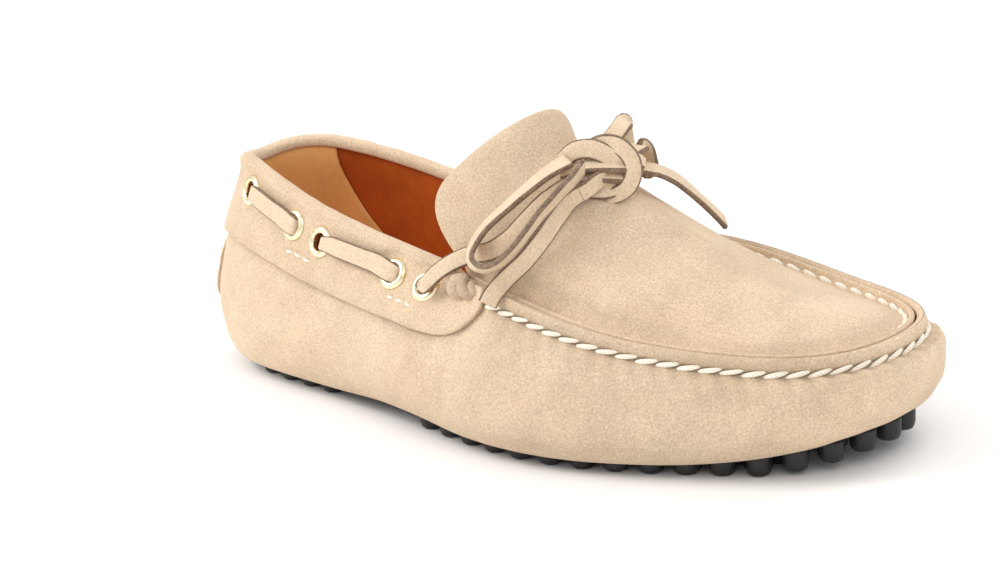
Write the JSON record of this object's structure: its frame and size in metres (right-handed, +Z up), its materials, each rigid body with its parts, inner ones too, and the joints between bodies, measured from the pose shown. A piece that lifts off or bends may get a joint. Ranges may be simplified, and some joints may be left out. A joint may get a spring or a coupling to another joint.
{
  "type": "driving moccasin",
  "caption": "Suede driving moccasin for the right foot with a raised apron seam, a thong lace through a collar band, and a pebbled rubber sole.",
  "frame": {"origin": "centre of the shoe's box on the floor plane, under the pebble tips", "axes": "+X from heel to toe, +Y to the medial side, +Z up"},
  "size_m": [0.2781, 0.1148, 0.1022],
  "materials": {
    "suede": "napped matt suede",
    "suede_dark": "napped matt suede",
    "rubber": "satin",
    "footbed": "smooth lining leather",
    "brass": "polished",
    "thong": "suede thong with raw edges"
  },
  "bodies": {
    "root": {"upper": "suede", "apron_tongue": "suede", "collar_band": "suede", "collar_roll": "suede", "heel_guard": "suede_dark", "insole": "footbed", "outsole": "rubber", "eyelet_lat_1": "brass", "eyelet_lat_2": "brass", "eyelet_lat_3": "brass", "eyelet_lat_4": "brass", "eyelet_lat_5": "brass", "eyelet_med_1": "brass", "eyelet_med_2": "brass", "eyelet_med_3": "brass", "eyelet_med_4": "brass", "eyelet_med_5": "brass", "lace_bar_lat_front": "thong", "lace_bar_lat_rear": "thong", "lace_bar_med_front": "thong", "lace_bar_med_rear": "thong", "lace_end_lat": "thong", "lace_end_med": "thong", "lace_knot": "thong", "lace_loop_lat": "thong", "lace_loop_med": "thong", "lace_tie_lat": "thong", "lace_tie_med": "thong"}
  },
  "joints": []
}
